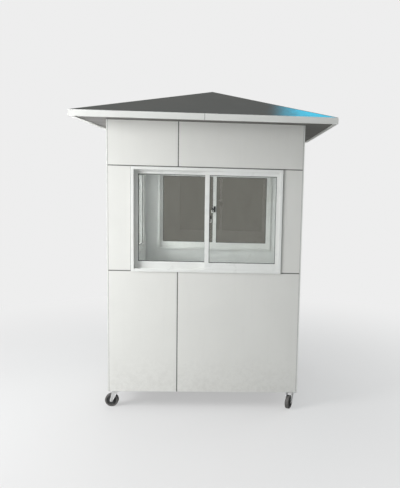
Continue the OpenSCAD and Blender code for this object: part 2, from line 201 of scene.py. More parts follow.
def coated_sheet(name, colour, roughness, wave=0.25, dirt=0.35, **sockets):
    """Coated aluminium composite sheet: faint clouding, fine texture, slow waves, dust near the floor."""
    made, t, shader = new_finish(name, **sockets)
    floor_z = CAD_BOX[0].z
    clouds = t.noise(2.2, 4.0, 0.55, warp=0.4)
    streaks = t.noise(1.0, 3.0, 0.6, vector=t.stretched(26, 26, 1.3))
    grain = t.noise(620, 2.0, 0.6)
    dust = tuple(0.72 * c + 0.06 * warm for c, warm in zip(colour, (1.0, 0.9, 0.74)))
    shade = t.blend(t.remap(clouds, 0.35, 0.7, 0.0, 0.5), colour, tuple(0.95 * c for c in colour))
    shade = t.blend(t.remap(streaks, 0.52, 0.72, 0.0, 0.05), shade, dust)
    foot = t.remap(t.axis("Z"), floor_z + DUST_FULL, floor_z + DUST_NONE, dirt, 0.0)
    splash = t.math("MULTIPLY", foot, t.remap(t.noise(34, 5.0, 0.7), 0.38, 0.66))
    shade = t.blend(splash, shade, dust)
    t.feed(shader.inputs["Base Color"], shade)
    rough = t.remap(clouds, 0.3, 0.7, roughness - 0.04, roughness + 0.05)
    rough = t.math("ADD", rough, t.math("MULTIPLY", splash, 0.35))
    t.feed(shader.inputs["Roughness"], rough)
    slow = t.bump(t.noise(1.7, 1.0, 0.4), 0.012, wave)
    t.feed(shader.inputs["Normal"], t.bump(grain, 0.00012, 0.5, slow))
    return made


def window_paint():
    """White powder coat on aluminium profile."""
    made, t, shader = new_finish("window_paint", IOR=1.5, Coat_Weight=0.15, Coat_Roughness=0.2)
    colour = (0.80, 0.81, 0.79)
    smudge = t.noise(6, 4.0, 0.55, warp=0.3)
    shade = t.blend(t.remap(smudge, 0.45, 0.8, 0.0, 0.3), colour, (0.68, 0.67, 0.62))
    t.feed(shader.inputs["Base Color"], shade)
    t.feed(shader.inputs["Roughness"], t.remap(smudge, 0.3, 0.75, 0.26, 0.42))
    t.feed(shader.inputs["Normal"], t.bump(t.noise(900, 2.0, 0.5), 0.0001, 0.6))
    return made


def glazing():
    """Clear float glass, faintly green, with a thin film of dust. Lamps shine through it."""
    made, t, shader = new_finish("glazing", roughness=0.02, IOR=1.5, Transmission_Weight=1.0)
    wiped = t.noise(5.5, 5.0, 0.6, vector=t.stretched(1.0, 1.0, 0.35), warp=1.2)
    shade = t.blend(t.remap(wiped, 0.45, 0.8, 0.0, 0.6), GLASS_TINT, tuple(0.9 * c for c in GLASS_TINT))
    t.feed(shader.inputs["Base Color"], shade)
    t.feed(shader.inputs["Roughness"], t.remap(wiped, 0.5, 0.8, 0.0, 0.05))
    clear = t.node("ShaderNodeBsdfTransparent")
    clear.inputs["Color"].default_value = (*GLASS_TINT, 1.0)
    mix = t.node("ShaderNodeMixShader")
    t.feed(mix.inputs[0], t.node("ShaderNodeLightPath").outputs["Is Shadow Ray"])
    t.feed(mix.inputs[1], shader.outputs[0])
    t.feed(mix.inputs[2], clear.outputs[0])
    output = next(n for n in t.tree.nodes if n.type == "OUTPUT_MATERIAL")
    t.feed(output.inputs["Surface"], mix.outputs[0])
    return made


def roof_sheet():
    """Dark slate coated sheet, semi-gloss, with dry dust and pale spots."""
    made, t, shader = new_finish("roof_sheet", IOR=1.45)
    colour = (0.033, 0.040, 0.039)
    dust = t.noise(4.5, 6.0, 0.65, warp=0.8)
    spots = t.remap(t.cells(42), 0.0, 0.10, 1.0, 0.0)
    shade = t.blend(t.remap(dust, 0.42, 0.75, 0.0, 0.35), colour, (0.075, 0.075, 0.068))
    shade = t.blend(t.math("MULTIPLY", spots, 0.12), shade, (0.16, 0.16, 0.15))
    t.feed(shader.inputs["Base Color"], shade)
    t.feed(shader.inputs["Roughness"], t.remap(dust, 0.35, 0.75, ROOF_GLOSS, ROOF_GLOSS + 0.10))
    slow = t.bump(t.noise(2.4, 1.5, 0.4), 0.006, 0.15)
    t.feed(shader.inputs["Normal"], t.bump(t.noise(700, 2.0, 0.5), 0.00003, 0.3, slow))
    return made


def wall_lining():
    """White coated sheet on the inside of the walls and the ceiling."""
    made, t, shader = new_finish("wall_lining", IOR=1.5)
    clouds = t.noise(3.0, 4.0, 0.5)
    shade = t.blend(t.remap(clouds, 0.35, 0.7, 0.0, 0.5), (0.82, 0.83, 0.82), (0.76, 0.765, 0.75))
    scuffs = t.remap(t.noise(22, 6.0, 0.7, vector=t.stretched(1, 1, 0.25)), 0.64, 0.74, 0.0, 0.4)
    shade = t.blend(scuffs, shade, (0.55, 0.54, 0.50))
    t.feed(shader.inputs["Base Color"], shade)
    t.feed(shader.inputs["Roughness"], t.remap(clouds, 0.3, 0.7, 0.32, 0.42))
    t.feed(shader.inputs["Normal"], t.bump(t.noise(420, 2.0, 0.5), 0.00015, 0.5))
    return made


def floor_vinyl():
    """Grey flecked vinyl sheet on the deck."""
    made, t, shader = new_finish("floor_vinyl", IOR=1.48)
    flecks = t.cells(160, "Color")
    pick = t.axis("X", flecks)
    shade = t.blend(t.remap(pick, 0.72, 0.78), (0.30, 0.30, 0.29), (0.46, 0.45, 0.42))
    shade = t.blend(t.remap(pick, 0.18, 0.12), shade, (0.15, 0.15, 0.15))
    worn = t.noise(3.5, 5.0, 0.6)
    shade = t.blend(t.remap(worn, 0.5, 0.75, 0.0, 0.35), shade, (0.42, 0.39, 0.34))
    t.feed(shader.inputs["Base Color"], shade)
    t.feed(shader.inputs["Roughness"], t.remap(worn, 0.35, 0.7, 0.38, 0.62))
    t.feed(shader.inputs["Normal"], t.bump(t.noise(260, 3.0, 0.6), 0.0002, 0.6))
    return made


def base_primer():
    """Dark grey primer on the base steel, chipped to brown at random spots."""
    made, t, shader = new_finish("base_primer", IOR=1.45)
    mottle = t.noise(26, 6.0, 0.65)
    chips = t.remap(t.noise(60, 5.0, 0.7), 0.64, 0.68)
    shade = t.blend(t.remap(mottle, 0.35, 0.7), (0.060, 0.063, 0.066), (0.095, 0.097, 0.098))
    shade = t.blend(chips, shade, (0.16, 0.075, 0.040))
    t.feed(shader.inputs["Base Color"], shade)
    t.feed(shader.inputs["Roughness"], t.remap(mottle, 0.3, 0.7, 0.48, 0.68))
    t.feed(shader.inputs["Normal"], t.bump(t.math("ADD", mottle, chips), 0.0004, 0.5))
    return made


def brushed_steel():
    """Brushed stainless steel, with the brushing along Z."""
    made, t, shader = new_finish("brushed_steel", metallic=1.0)
    lines = t.noise(900, 3.0, 0.6, vector=t.stretched(1, 1, 0.03))
    shade = t.blend(t.remap(lines, 0.3, 0.7), (0.56, 0.56, 0.55), (0.70, 0.70, 0.69))
    t.feed(shader.inputs["Base Color"], shade)
    t.feed(shader.inputs["Roughness"], t.remap(lines, 0.3, 0.7, 0.24, 0.40))
    t.feed(shader.inputs["Normal"], t.bump(lines, 0.00008, 0.6))
    return made


def zinc_plate():
    """Zinc-plated pressed steel: faint spangle, dull film, rust starting in spots, road dust."""
    made, t, shader = new_finish("zinc_plate", metallic=1.0)
    spangle = t.axis("X", t.cells(210, "Color"))
    film = t.noise(70, 5.0, 0.65)
    shade = t.blend(t.remap(spangle, 0.2, 0.8), (0.72, 0.72, 0.71), (0.82, 0.82, 0.82))
    shade = t.blend(t.remap(film, 0.52, 0.74, 0.0, 0.6), shade, (0.42, 0.40, 0.36))
    rust = t.remap(t.noise(150, 6.0, 0.72), 0.64, 0.70)
    shade = t.blend(rust, shade, (0.21, 0.10, 0.05))
    t.feed(shader.inputs["Base Color"], shade)
    t.feed(shader.inputs["Metallic"], t.remap(rust, 0.0, 1.0, 1.0, 0.15))
    t.feed(shader.inputs["Roughness"], t.remap(film, 0.35, 0.7, 0.28, 0.55))
    t.feed(shader.inputs["Normal"], t.bump(film, 0.0003, 0.5))
    return made


def sealant():
    """Grey silicone, slightly uneven, with dust caught in it."""
    made, t, shader = new_finish("sealant", IOR=1.42)
    dust = t.noise(55, 5.0, 0.65)
    shade = t.blend(t.remap(dust, 0.42, 0.7, 0.0, 0.8), (0.115, 0.118, 0.112), (0.20, 0.195, 0.175))
    t.feed(shader.inputs["Base Color"], shade)
    t.feed(shader.inputs["Roughness"], t.remap(dust, 0.35, 0.7, 0.42, 0.66))
    t.feed(shader.inputs["Normal"], t.bump(t.noise(120, 3.0, 0.5), 0.0005, 0.6))
    return made


def gasket_rubber():
    """Black rubber glazing gasket."""
    made, t, shader = new_finish("gasket_rubber", IOR=1.5)
    bloom = t.noise(80, 4.0, 0.6)
    shade = t.blend(t.remap(bloom, 0.4, 0.7), (0.022, 0.022, 0.023), (0.050, 0.050, 0.048))
    t.feed(shader.inputs["Base Color"], shade)
    t.feed(shader.inputs["Roughness"], t.remap(bloom, 0.3, 0.7, 0.48, 0.68))
    t.feed(shader.inputs["Normal"], t.bump(t.noise(500, 2.0, 0.5), 0.0001, 0.6))
    return made


def moulded_black():
    """Black moulded plastic on the locks."""
    made, t, shader = new_finish("moulded_black", IOR=1.46)
    grain = t.noise(700, 3.0, 0.6)
    shade = t.blend(t.remap(t.noise(40, 4.0, 0.6), 0.4, 0.7), (0.030, 0.030, 0.031), (0.055, 0.054, 0.052))
    t.feed(shader.inputs["Base Color"], shade)
    t.feed(shader.inputs["Roughness"], t.remap(grain, 0.3, 0.7, 0.36, 0.5))
    t.feed(shader.inputs["Normal"], t.bump(grain, 0.00015, 0.7))
    return made


def wheel_rubber(name, axle, along):
    """A caster wheel: dark tread dulled by dust round a grey moulded centre, split at a set radius."""
    made, t, shader = new_finish(name, IOR=1.5)
    offset = t.node("ShaderNodeVectorMath", operation="SUBTRACT")
    t.feed(offset.inputs[0], t.coords())
    offset.inputs[1].default_value = axle
    cross = t.node("ShaderNodeVectorMath", operation="CROSS_PRODUCT")
    t.feed(cross.inputs[0], offset.outputs[0])
    cross.inputs[1].default_value = along
    length = t.node("ShaderNodeVectorMath", operation="LENGTH")
    t.feed(length.inputs[0], cross.outputs[0])
    radius = length.outputs["Value"]
    scuff = t.noise(120, 6.0, 0.68)
    tread = t.blend(t.remap(scuff, 0.4, 0.68), (0.085, 0.083, 0.082), (0.16, 0.152, 0.142))
    centre = t.blend(t.remap(scuff, 0.42, 0.7), (0.050, 0.050, 0.051), (0.095, 0.092, 0.088))
    outer = t.remap(radius, WHEEL_SPLIT - WHEEL_SPLIT_BLUR, WHEEL_SPLIT + WHEEL_SPLIT_BLUR, smooth=False)
    t.feed(shader.inputs["Base Color"], t.blend(outer, centre, tread))
    t.feed(shader.inputs["Roughness"], t.remap(scuff, 0.35, 0.7, 0.50, 0.74))
    seam = t.remap(t.math("ABSOLUTE", t.math("SUBTRACT", radius, WHEEL_SPLIT)), 0.0, 0.0008, -1.0, 0.0)
    worn = t.bump(scuff, 0.0004, 0.6)
    t.feed(shader.inputs["Normal"], t.bump(seam, 0.0006, 0.8, worn))
    return made


CORNERS = ("front_left", "front_right", "back_left", "back_right")
JOINTS = {joint["name"]: joint for joint in frame["joints"]}


def make_finishes():
    """One material for each of the record's slots, and the ones that only the added pieces use."""
    return {
        "base_steel": base_primer(),
        "floor_sheet": floor_vinyl(),
        "wall_lining": wall_lining(),
        "cladding": coated_sheet("cladding", (0.745, 0.745, 0.715), 0.34),
        "cladding_trim": coated_sheet("cladding_trim", (0.765, 0.770, 0.745), 0.30),
        "window_profile": window_paint(),
        "glazing": glazing(),
        "hardware": brushed_steel(),
        "eaves_sheet": coated_sheet("eaves_sheet", (0.745, 0.750, 0.725), 0.34, dirt=0.0),
        "roof_sheet": roof_sheet(),
        # The soffit's dark brownish grey is painted shade: the soffit sheet is darkened to stand for the shade
        # under the eaves
        "soffit_sheet": coated_sheet("soffit_sheet", (0.080, 0.076, 0.066), 0.45, dirt=0.0),
        "caster_steel": zinc_plate(),
        "sealant": sealant(),
        "gasket": gasket_rubber(),
        "lock": moulded_black(),
    }


def dress_nodes(finish):
    """Gives every CAD node its slot's finish. Each wheel has its own, centred on its axle."""
    for part in frame["record"]["subparts"]:
        node, slot = frame["nodes"][part["node"]], part["material_slot"]
        corner = part["node"].removesuffix("_wheel")
        if corner in CORNERS:
            roll = JOINTS[corner + "_roll"]
            look = wheel_rubber(part["node"], roll["pos_m"], roll["axis"])
            finish[part["node"]] = look
        else:
            look = finish[slot]
        node.data.materials.clear()
        node.data.materials.append(look)


BEVEL_STEPS = 2
SHARP_ANGLE = math.radians(40)
WELD = 0.01 * MM
# How far each group of nodes has its edges eased, by slot
EASED = {"cladding": 0.5 * MM, "cladding_trim": 0.6 * MM, "window_profile": 1.0 * MM, "eaves_sheet": 0.6 * MM,
         "base_steel": 2.0 * MM, "hardware": 0.8 * MM, "caster_steel": 0.4 * MM}


def ease_edges():
    """Small bevels on the CAD nodes' sharp edges, so that they catch the light as folded metal does."""
    for part in frame["record"]["subparts"]:
        width = EASED.get(part["material_slot"])
        if width:
            node = frame["nodes"][part["node"]]
            weld = node.modifiers.new("weld", "WELD")
            weld.merge_threshold = WELD
            soften(node, width)


def soften(piece, width):
    """A narrow bevel on the sharp edges, shaded with the faces' own normals."""
    bevel = piece.modifiers.new("bevel", "BEVEL")
    bevel.width = width
    bevel.segments = BEVEL_STEPS
    bevel.limit_method = "ANGLE"
    bevel.angle_limit = SHARP_ANGLE
    bevel.use_clamp_overlap = True
    normals = piece.modifiers.new("normals", "WEIGHTED_NORMAL")
    normals.keep_sharp = False


# ---- Building pieces ----

def add_piece(name, mesh, finish, body=CABIN, ease=0.0):
    """Turns a bmesh into a piece that rides on a body."""
    bmesh.ops.recalc_face_normals(mesh, faces=mesh.faces)
    data = bpy.data.meshes.new(name)
    mesh.to_mesh(data)
    mesh.free()
    data.materials.append(finish)
    piece = bpy.data.objects.new(name, data)
    bpy.context.scene.collection.objects.link(piece)
    if ease:
        soften(piece, ease)
    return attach(piece, body)


def block(mesh, low, high, place=Matrix()):
    """A closed box between two corners."""
    made = bmesh.ops.create_cube(mesh, size=1.0)["verts"]
    low, high = Vector(low), Vector(high)
    size = Matrix.Diagonal((*(high - low), 1.0))
    bmesh.ops.transform(mesh, matrix=place @ Matrix.Translation((low + high) / 2) @ size, verts=made)


def prism(mesh, outline, low, high, place=Matrix()):
    """An outline of (x, z) points, extruded along Y from low to high."""
    rows = [[mesh.verts.new(place @ Vector((x, y, z))) for x, z in outline] for y in (low, high)]
    count = len(outline)
    mesh.faces.new(rows[0])
    mesh.faces.new(reversed(rows[1]))
    for i in range(count):
        j = (i + 1) % count
        mesh.faces.new((rows[0][i], rows[1][i], rows[1][j], rows[0][j]))


def strip(mesh, outer, inner, low, high, closed, place=Matrix()):
    """A band between two lines of (x, z) points, extruded along Y from low to high."""
    lines = [[mesh.verts.new(place @ Vector((x, y, z))) for x, z in line]
             for line, y in ((outer, low), (inner, low), (inner, high), (outer, high))]
    count = len(outer)
    for i in range(count if closed else count - 1):
        j = (i + 1) % count
        for side in range(4):
            a, b = lines[side], lines[(side + 1) % 4]
            mesh.faces.new((a[i], a[j], b[j], b[i]))
    if not closed:
        mesh.faces.new([line[0] for line in lines])
        mesh.faces.new([line[-1] for line in reversed(lines)])


def lathe(mesh, profile, sides, place=Matrix()):
    """Turns a profile of (radius, height) points about Z. A radius of 0 closes an end."""
    rings = []
    for radius, height in profile:
        turns = sides if radius > 0 else 1
        rings.append([mesh.verts.new(place @ Vector((radius * math.cos(a), radius * math.sin(a), height)))
                      for a in (2 * math.pi * i / sides for i in range(turns))])
    for below, above in zip(rings, rings[1:]):
        for i in range(sides):
            j = (i + 1) % sides
            ring = [below[i % len(below)], below[j % len(below)]]
            ring += [above[j % len(above)], above[i % len(above)]]
            mesh.faces.new(list(dict.fromkeys(ring)))


def rectangle(u0, u1, z0, z1, inset=0.0):
    """The four corners of an upright rectangle, drawn in by inset, or out where it is negative."""
    return [(u0 + inset, z0 + inset), (u1 - inset, z0 + inset),
            (u1 - inset, z1 - inset), (u0 + inset, z1 - inset)]


def solid_boxes(node, place=Matrix()):
    """The box of each solid in a CAD node, in the axes of place: (low, high) pairs, in order."""
    data = frame["nodes"][node].data
    points = [tuple(round(c / (0.01 * MM)) for c in v.co) for v in data.vertices]
    group = {p: p for p in points}

    def root(p):
        while group[p] != p:
            group[p] = group[group[p]]
            p = group[p]
        return p

    for face in data.polygons:
        first = root(points[face.vertices[0]])
        for v in face.vertices[1:]:
            group[root(points[v])] = first
    solids = {}
    to_local = place.inverted()
    for index, p in enumerate(points):
        solids.setdefault(root(p), []).append(to_local @ data.vertices[index].co)
    boxes = [(Vector(min(c) for c in zip(*s)), Vector(max(c) for c in zip(*s))) for s in solids.values()]
    return sorted(boxes, key=lambda b: tuple(round(c, 4) for c in (*b[0], *b[1])))


# ---- Walls: X along the wall, Y in from the cladding's face, Z up ----

BODY_HIGH = Vector(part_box("corner_trims")[1])
WALL_TURN = {"front": 0, "back": 180, "left": -90, "right": 90}


def wall_place(side):
    depth = BODY_HIGH.y if side in ("front", "back") else BODY_HIGH.x
    return Matrix.Rotation(math.radians(WALL_TURN[side]), 4, "Z") @ Matrix.Translation((0, -depth, 0))


SEAL_DEPTH = 1.3 * MM
SEAL_BACK = 3.9 * MM


def wall_seal(side, finish):
    """Sealant in every joint of one wall: the part of its face that no sheet, trim or frame covers."""
    place = wall_place(side)
    opening = "door_frame" if side == "right" else side + "_window_frame"
    covers = solid_boxes(side + "_cladding", place) + solid_boxes(opening, place)
    covers += [b for b in solid_boxes("corner_trims", place) if b[0].y < MM]
    us = sorted({round(b[k].x, 5) for b in covers for k in (0, 1)})
    zs = sorted({round(b[k].z, 5) for b in covers for k in (0, 1)})
    mesh = bmesh.new()
    corners = {}

    def corner(i, j, depth):
        key = (i, j, depth)
        if key not in corners:
            corners[key] = mesh.verts.new(place @ Vector((us[i], depth, zs[j])))
        return corners[key]

    def is_open(i, j):
        if not (0 <= i < len(us) - 1 and 0 <= j < len(zs) - 1):
            return False
        u, z = (us[i] + us[i + 1]) / 2, (zs[j] + zs[j + 1]) / 2
        return not any(low.x < u < high.x and low.z < z < high.z for low, high in covers)

    for i in range(len(us) - 1):
        for j in range(len(zs) - 1):
            if not is_open(i, j):
                continue
            ring = ((i, j), (i + 1, j), (i + 1, j + 1), (i, j + 1))
            beyond = ((i, j - 1), (i + 1, j), (i, j + 1), (i - 1, j))
            mesh.faces.new([corner(*c, SEAL_DEPTH) for c in ring])
            mesh.faces.new([corner(*c, SEAL_BACK) for c in reversed(ring)])
            for a, b, cell in zip(ring, ring[1:] + ring[:1], beyond):
                if not is_open(*cell):
                    mesh.faces.new((corner(*a, SEAL_DEPTH), corner(*a, SEAL_BACK),
                                    corner(*b, SEAL_BACK), corner(*b, SEAL_DEPTH)))
    return add_piece(side + "_joint_sealant", mesh, finish["sealant"])


# ---- Windows ----

GLASS_GRIP = 8 * MM
GASKET_W = 3.5 * MM
GASKET_T = 3 * MM


def pane_gaskets(mesh, pane, place):
    """Rubber rings on both faces of a pane, along the edge that its sash shows."""
    low, high = pane
    edge = (low.x + GLASS_GRIP, high.x - GLASS_GRIP, low.z + GLASS_GRIP, high.z - GLASS_GRIP)
    for near, far in ((low.y - GASKET_T, low.y - 0.05 * MM), (high.y + 0.05 * MM, high.y + GASKET_T)):
        strip(mesh, rectangle(*edge), rectangle(*edge, GASKET_W), near, far, True, place)


LOCK_H = 62 * MM
LOCK_W = 20 * MM
LOCK_BODY = 9 * MM
LEVER_START, LEVER_END = 10 * MM, 15 * MM
# The crescent sits a little above the middle of its sash
LOCK_RISE = 19 * MM
HUB_PROFILE = [(0, 0), (9 * MM, 0), (9 * MM, 6 * MM), (7 * MM, 8 * MM), (0, 8 * MM)]


def crescent_lock(mesh, stile_x, face_y, middle_z, place):
    """A crescent lock on the inside of a meeting stile, with its lever reaching past the stile."""
    block(mesh, (stile_x - LOCK_W / 2, face_y, middle_z - LOCK_H / 2),
          (stile_x + LOCK_W / 2, face_y + LOCK_BODY, middle_z + LOCK_H / 2), place)
    hub = (place @ Matrix.Translation((stile_x, face_y + LOCK_BODY, middle_z))
           @ Matrix.Rotation(-math.pi / 2, 4, "X"))
    lathe(mesh, HUB_PROFILE, 24, hub)
    lever = [(0, -6 * MM), (24 * MM, -8 * MM), (31 * MM, -3 * MM), (30 * MM, 16 * MM), (24 * MM, 20 * MM),
             (15 * MM, 8 * MM), (0, 6 * MM)]
    outline = [(stile_x + x, middle_z + z) for x, z in lever]
    prism(mesh, outline, face_y + LEVER_START, face_y + LEVER_END, place)


def lock_keeper(mesh, stile_x, face_y, middle_z, place):
    """The white hook that the crescent turns into, fixed to the outer sash's meeting stile."""
    hook = [(14 * MM, -38 * MM), (32 * MM, -38 * MM), (32 * MM, -10 * MM),
            (26 * MM, -10 * MM), (26 * MM, -30 * MM), (14 * MM, -30 * MM)]
    prism(mesh, [(stile_x + x, middle_z + z) for x, z in hook], face_y - 6 * MM, face_y + 8 * MM, place)


def screw_head(mesh, radius, place):
    """A low domed head with a socket, facing -Y."""
    outward = place @ Matrix.Rotation(math.pi / 2, 4, "X")
    profile = [(0, -0.3 * MM), (radius, -0.3 * MM), (radius, 0.35 * radius), (0.72 * radius, 0.55 * radius),
               (0.4 * radius, 0.6 * radius), (0.36 * radius, 0.2 * radius), (0, 0.15 * radius)]
    lathe(mesh, profile, 16, outward)


def add_window(side, finish):
    """What one window has besides its frame, sashes and glass: gaskets, a lock and its keeper."""
    place = wall_place(side)
    name = side + "_window"
    panes = solid_boxes(name + "_glass", place)
    sashes = solid_boxes(name + "_sashes", place)
    gaskets = bmesh.new()
    for pane in panes:
        pane_gaskets(gaskets, pane, place)
    add_piece(name + "_gaskets", gaskets, finish["gasket"])
    inner = max(sashes, key=lambda b: b[0].y)
    outer = min(sashes, key=lambda b: b[0].y)
    stile_x = (inner[1].x + outer[0].x) / 2
    middle_z = (inner[0].z + inner[1].z) / 2 + LOCK_RISE
    lock = bmesh.new()
    crescent_lock(lock, stile_x, inner[1].y, middle_z, place)
    add_piece(name + "_lock", lock, finish["lock"], ease=0.8 * MM)
    keeper = bmesh.new()
    lock_keeper(keeper, stile_x, inner[1].y, middle_z, place)
    add_piece(name + "_lock_keeper", keeper, finish["window_profile"], ease=0.8 * MM)


# ---- Door ----

# The weather seal lies outside the leaf: where it ends and starts, from the leaf's edge and from its face
DOOR_SEAL_OUT, DOOR_SEAL_IN = 3.2 * MM, 0.4 * MM
DOOR_SEAL_NEAR, DOOR_SEAL_FAR = 12 * MM, 16 * MM
HINGE_PLATE_T = 2 * MM
HINGE_SCREW_R, HINGE_SCREW_ASIDE = 2.6 * MM, 15.5 * MM
HINGE_SCREW_SHARES = (0.18, 0.82)
HANDLE_PLATE_T, HANDLE_PLATE_HALF = 6 * MM, 20 * MM
PLATE_SCREW_R, PLATE_SCREW_REACH = 3 * MM, 98 * MM
CYLINDER_DROP = 60 * MM
CYLINDER_PROFILE = [(0, -0.2 * MM), (9 * MM, -0.2 * MM), (9 * MM, 2 * MM), (8 * MM, 3 * MM), (0, 3 * MM)]
# The keyway is a thin black patch, painted shade for the dark slot: its outline in millimetres, and how far it
# stands off the leaf
KEYWAY_SHADE_OUTLINE = [(-1.6, 6), (1.6, 6), (1.6, 2.4), (0.6, 1.2), (1.1, -2.2),
          (0.5, -6), (-0.8, -6), (-0.4, -2), (-1.1, 1.2), (-1.6, 2.4)]
KEYWAY_SHADE_FRONT, KEYWAY_SHADE_BACK = 9.2 * MM, 8.9 * MM


def add_door(finish):
    """The door's gaskets, weather seal, screws and lock cylinder, and a thin black patch on the cylinder that is
    painted shade for its keyway.
    """
    place = wall_place("right")
    gaskets = bmesh.new()
    pane_gaskets(gaskets, solid_boxes("door_glass", place)[0], place)
    add_piece("door_gaskets", gaskets, finish["gasket"])
    low, high = solid_boxes("door_leaf", place)[0]
    seal = bmesh.new()
    outer = rectangle(low.x, high.x, low.z, high.z, -DOOR_SEAL_OUT)
    inner = rectangle(low.x, high.x, low.z, high.z, -DOOR_SEAL_IN)
    strip(seal, outer, inner, low.y + DOOR_SEAL_NEAR, low.y + DOOR_SEAL_FAR, True, place)
    add_piece("door_weather_seal", seal, finish["gasket"])
    screws = bmesh.new()
    for hinge_low, hinge_high in solid_boxes("door_hinges", place):
        middle = (hinge_low.x + hinge_high.x) / 2
        face_y = hinge_high.y - HINGE_PLATE_T
        for side in (-1, 1):
            for share in HINGE_SCREW_SHARES:
                z = hinge_low.z + share * (hinge_high.z - hinge_low.z)
                spot = (middle + side * HINGE_SCREW_ASIDE, face_y, z)
                screw_head(screws, HINGE_SCREW_R, place @ Matrix.Translation(spot))
    plate = min(solid_boxes("door_handles", place), key=lambda b: b[0].y)
    plate_x = plate[1].x - HANDLE_PLATE_HALF
    plate_face = plate[1].y - HANDLE_PLATE_T
    middle = (plate[0].z + plate[1].z) / 2
    for offset in (-PLATE_SCREW_REACH, PLATE_SCREW_REACH):
        spot = (plate_x, plate_face, middle + offset)
        screw_head(screws, PLATE_SCREW_R, place @ Matrix.Translation(spot))
    add_piece("door_screws", screws, finish["hardware"])
    cylinder = bmesh.new()
    keyhole_z = middle - CYLINDER_DROP
    outward = Matrix.Rotation(math.pi / 2, 4, "X")
    keyhole = place @ Matrix.Translation((plate_x, plate_face, keyhole_z)) @ outward
    lathe(cylinder, CYLINDER_PROFILE, 32, keyhole)
    add_piece("door_lock_cylinder", cylinder, finish["hardware"])
    # A thin black patch on the cylinder's face: painted shade standing for the keyway's dark slot
    slot = bmesh.new()
    outline = [(plate_x + x * MM, keyhole_z + z * MM) for x, z in KEYWAY_SHADE_OUTLINE]
    prism(slot, outline, plate[1].y - KEYWAY_SHADE_FRONT, plate[1].y - KEYWAY_SHADE_BACK, place)
    add_piece("door_keyway_painted_shade", slot, finish["gasket"])


# ---- Roof and eaves ----

HIP_W = 5 * MM
HIP_RISE = 1.2 * MM
# The bead narrows towards the apex, where four of them meet
HIP_REACH_TOP, HIP_REACH_FOOT = 0.4, 1.0
SEAL_GAP = 0.05 * MM
FASCIA_SEAL_FRONT, FASCIA_SEAL_BACK, FASCIA_SEAL_END = 0.8 * MM, 3.8 * MM, 0.3 * MM


def add_hip_seams(finish):
    """A low bead of sealant along each hip, from the apex to the eaves."""
    low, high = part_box("front_roof_sheet")
    apex = Vector((0, 0, high.z))
    half = Vector((high.x, -low.y, 0))
    eaves_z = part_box("fascia")[1].z
    mesh = bmesh.new()
    for sx in (-1, 1):
        for sy in (-1, 1):
            foot = Vector((sx * half.x, sy * half.y, eaves_z))
            rows = []
            for end, reach in ((apex, HIP_REACH_TOP), (foot, HIP_REACH_FOOT)):
                up = Vector((0, 0, HIP_RISE))
                on_x = Vector((0, -sy * HIP_W * reach, 0))
                on_y = Vector((-sx * HIP_W * reach, 0, 0))
                rows.append([mesh.verts.new(p) for p in
                             (end + on_x - up * 0.2, end + on_x * 0.6 + up, end + up * 1.1,
                              end + on_y * 0.6 + up, end + on_y - up * 0.2, end - up)])
            count = len(rows[0])
            mesh.faces.new(rows[0])
            mesh.faces.new(reversed(rows[1]))
            for i in range(count):
                j = (i + 1) % count
                mesh.faces.new((rows[0][i], rows[1][i], rows[1][j], rows[0][j]))
    add_piece("hip_sealant", mesh, finish["sealant"])


def add_fascia_seals(finish):
    """Sealant where two lengths of fascia meet at the middle of each side."""
    lengths = solid_boxes("fascia")
    low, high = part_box("fascia")
    half_gap = min(b[0].x for b in lengths if b[0].x > 0) - SEAL_GAP
    mesh = bmesh.new()
    for turn in range(4):
        reach = high.y if turn % 2 == 0 else high.x
        block(mesh, (-half_gap, -reach + FASCIA_SEAL_FRONT, low.z + FASCIA_SEAL_END),
              (half_gap, -reach + FASCIA_SEAL_BACK, high.z - FASCIA_SEAL_END),
              Matrix.Rotation(turn * math.pi / 2, 4, "Z"))
    add_piece("fascia_sealant", mesh, finish["sealant"])


# ---- Casters: origin on the floor under the kingpin, trailing along +X ----

CROWN_HALF = 24 * MM
LEG_FACE = 23 * MM
FORK_END = 12 * MM
FLANGE_W = 3.2 * MM
FLANGE_T = 2.2 * MM
HUB_R = 15 * MM
RIM_R = 36 * MM
WEB_HALF = 9 * MM
RIB_COUNT = 6
RIB_HALF, RIB_DEPTH = 1.3 * MM, 4 * MM
# How far a rib sinks into the hub, the rim and the web
SINK = 0.2 * MM
# How far the flanges stay under the crown's top
CROWN_CLEAR = 0.4 * MM
NUT_R, NUT_H, NUT_OUT = 7 * MM, 3.5 * MM, 4 * MM
PLATE_T = 4 * MM
BOLT_ASIDE, BOLT_R, BOLT_H = 32 * MM, 6.2 * MM, 3.6 * MM
WASHER_R, WASHER_T = 8 * MM, 1.2 * MM
CASTER_EASE = 0.4 * MM


def caster_place(corner):
    """The caster's own axes, and its axle's (x, z), from its two joints."""
    pin = Vector(JOINTS[corner + "_swivel"]["pos_m"])
    axle = Vector(JOINTS[corner + "_roll"]["pos_m"])
    angle = math.atan2(axle.y - pin.y, axle.x - pin.x)
    place = Matrix.Translation((pin.x, pin.y, 0)) @ Matrix.Rotation(angle, 4, "Z")
    return place, Vector(((axle - pin).xy.length, axle.z))


def tangent(point, centre, radius, side):
    """Where a line from point touches a circle, on the given side."""
    away = point - centre
    reach = math.acos(radius / away.length)
    turn = math.atan2(away.y, away.x) + side * reach
    return centre + radius * Vector((math.cos(turn), math.sin(turn)))


